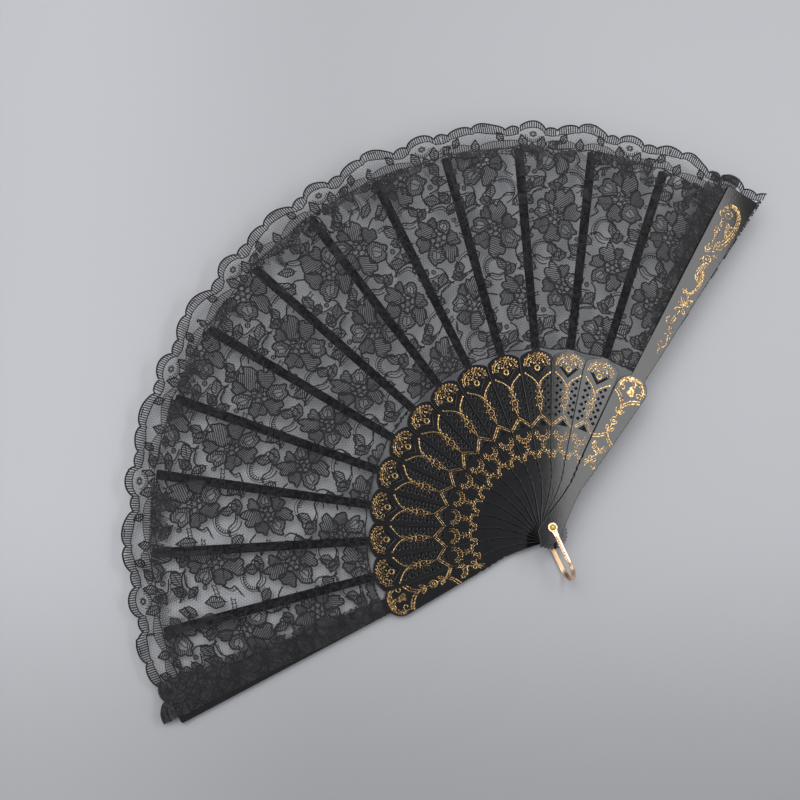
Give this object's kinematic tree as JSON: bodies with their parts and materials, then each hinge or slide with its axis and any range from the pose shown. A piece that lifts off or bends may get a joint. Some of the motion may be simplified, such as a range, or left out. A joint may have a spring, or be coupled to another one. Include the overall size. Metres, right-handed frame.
{
  "type": "hand fan",
  "caption": "Folding lace hand fan with pierced black sticks on a common rivet, gilt ornament, wide end guards and a metal bail; it folds about the rivet's axis.",
  "frame": {"origin": "centre of the rivet's flat lower head, on the rivet's axis, which every stick turns about", "axes": "+Z along the rivet from the rear guard up to the front guard; +Y along the middle of the open fan; +X to the side of the front guard"},
  "size_m": [0.46, 0.2684, 0.0232],
  "materials": {
    "black_plastic": "semi-gloss moulded plastic, the gorge printed with gilt ornament",
    "rivet_brass": "polished brass",
    "bail_gilt": "pale rose-gilt strip, polished",
    "lace": "machine lace, matt synthetic yarn with a little sheen"
  },
  "bodies": {
    "rear_guard_body": {"guard_rear": "black_plastic", "rivet_pin": "rivet_brass", "rivet_cap": "rivet_brass", "lace_panel_01": "lace"},
    "stick_01_body": {"stick_01": "black_plastic", "lace_panel_02": "lace"},
    "stick_02_body": {"stick_02": "black_plastic", "lace_panel_03": "lace"},
    "stick_03_body": {"stick_03": "black_plastic", "lace_panel_04": "lace"},
    "stick_04_body": {"stick_04": "black_plastic", "lace_panel_05": "lace"},
    "stick_05_body": {"stick_05": "black_plastic", "lace_panel_06": "lace"},
    "stick_06_body": {"stick_06": "black_plastic", "lace_panel_07": "lace"},
    "stick_07_body": {"stick_07": "black_plastic", "lace_panel_08": "lace"},
    "stick_08_body": {"stick_08": "black_plastic", "lace_panel_09": "lace"},
    "stick_09_body": {"stick_09": "black_plastic", "lace_panel_10": "lace"},
    "stick_10_body": {"stick_10": "black_plastic", "lace_panel_11": "lace"},
    "stick_11_body": {"stick_11": "black_plastic", "lace_panel_12": "lace"},
    "stick_12_body": {"stick_12": "black_plastic", "lace_panel_13": "lace"},
    "front_guard_body": {"guard_front": "black_plastic"},
    "bail_body": {"bail": "bail_gilt"}
  },
  "joints": [
    {"name": "stick_01_hinge", "type": "hinge", "parent": "rear_guard_body", "child": "stick_01_body", "pos_m": [0, 0, 0], "axis": [0, 0, 1], "range_deg": [0, 10], "deforming": ["lace_panel_01"]},
    {"name": "stick_02_hinge", "type": "hinge", "parent": "stick_01_body", "child": "stick_02_body", "pos_m": [0, 0, 0], "axis": [0, 0, 1], "range_deg": [0, 11.27], "deforming": ["lace_panel_02"]},
    {"name": "stick_03_hinge", "type": "hinge", "parent": "stick_02_body", "child": "stick_03_body", "pos_m": [0, 0, 0], "axis": [0, 0, 1], "range_deg": [0, 11.27], "deforming": ["lace_panel_03"]},
    {"name": "stick_04_hinge", "type": "hinge", "parent": "stick_03_body", "child": "stick_04_body", "pos_m": [0, 0, 0], "axis": [0, 0, 1], "range_deg": [0, 11.27], "deforming": ["lace_panel_04"]},
    {"name": "stick_05_hinge", "type": "hinge", "parent": "stick_04_body", "child": "stick_05_body", "pos_m": [0, 0, 0], "axis": [0, 0, 1], "range_deg": [0, 11.27], "deforming": ["lace_panel_05"]},
    {"name": "stick_06_hinge", "type": "hinge", "parent": "stick_05_body", "child": "stick_06_body", "pos_m": [0, 0, 0], "axis": [0, 0, 1], "range_deg": [0, 11.27], "deforming": ["lace_panel_06"]},
    {"name": "stick_07_hinge", "type": "hinge", "parent": "stick_06_body", "child": "stick_07_body", "pos_m": [0, 0, 0], "axis": [0, 0, 1], "range_deg": [0, 11.27], "deforming": ["lace_panel_07"]},
    {"name": "stick_08_hinge", "type": "hinge", "parent": "stick_07_body", "child": "stick_08_body", "pos_m": [0, 0, 0], "axis": [0, 0, 1], "range_deg": [0, 11.27], "deforming": ["lace_panel_08"]},
    {"name": "stick_09_hinge", "type": "hinge", "parent": "stick_08_body", "child": "stick_09_body", "pos_m": [0, 0, 0], "axis": [0, 0, 1], "range_deg": [0, 11.27], "deforming": ["lace_panel_09"]},
    {"name": "stick_10_hinge", "type": "hinge", "parent": "stick_09_body", "child": "stick_10_body", "pos_m": [0, 0, 0], "axis": [0, 0, 1], "range_deg": [0, 11.27], "deforming": ["lace_panel_10"]},
    {"name": "stick_11_hinge", "type": "hinge", "parent": "stick_10_body", "child": "stick_11_body", "pos_m": [0, 0, 0], "axis": [0, 0, 1], "range_deg": [0, 11.27], "deforming": ["lace_panel_11"]},
    {"name": "stick_12_hinge", "type": "hinge", "parent": "stick_11_body", "child": "stick_12_body", "pos_m": [0, 0, 0], "axis": [0, 0, 1], "range_deg": [0, 11.27], "deforming": ["lace_panel_12"]},
    {"name": "front_guard_hinge", "type": "hinge", "parent": "stick_12_body", "child": "front_guard_body", "pos_m": [0, 0, 0], "axis": [0, 0, 1], "range_deg": [0, 12.2], "deforming": ["lace_panel_13"]},
    {"name": "bail_hinge", "type": "hinge", "parent": "rear_guard_body", "child": "bail_body", "pos_m": [0, 0, 0], "axis": [0, 0, 1], "range_deg": [-75, 105]}
  ],
  "couplings": [
    {"joint": "stick_02_hinge", "follows": "stick_01_hinge", "ratio": 1.127},
    {"joint": "stick_03_hinge", "follows": "stick_01_hinge", "ratio": 1.127},
    {"joint": "stick_04_hinge", "follows": "stick_01_hinge", "ratio": 1.127},
    {"joint": "stick_05_hinge", "follows": "stick_01_hinge", "ratio": 1.127},
    {"joint": "stick_06_hinge", "follows": "stick_01_hinge", "ratio": 1.127},
    {"joint": "stick_07_hinge", "follows": "stick_01_hinge", "ratio": 1.127},
    {"joint": "stick_08_hinge", "follows": "stick_01_hinge", "ratio": 1.127},
    {"joint": "stick_09_hinge", "follows": "stick_01_hinge", "ratio": 1.127},
    {"joint": "stick_10_hinge", "follows": "stick_01_hinge", "ratio": 1.127},
    {"joint": "stick_11_hinge", "follows": "stick_01_hinge", "ratio": 1.127},
    {"joint": "stick_12_hinge", "follows": "stick_01_hinge", "ratio": 1.127},
    {"joint": "front_guard_hinge", "follows": "stick_01_hinge", "ratio": 1.22}
  ]
}
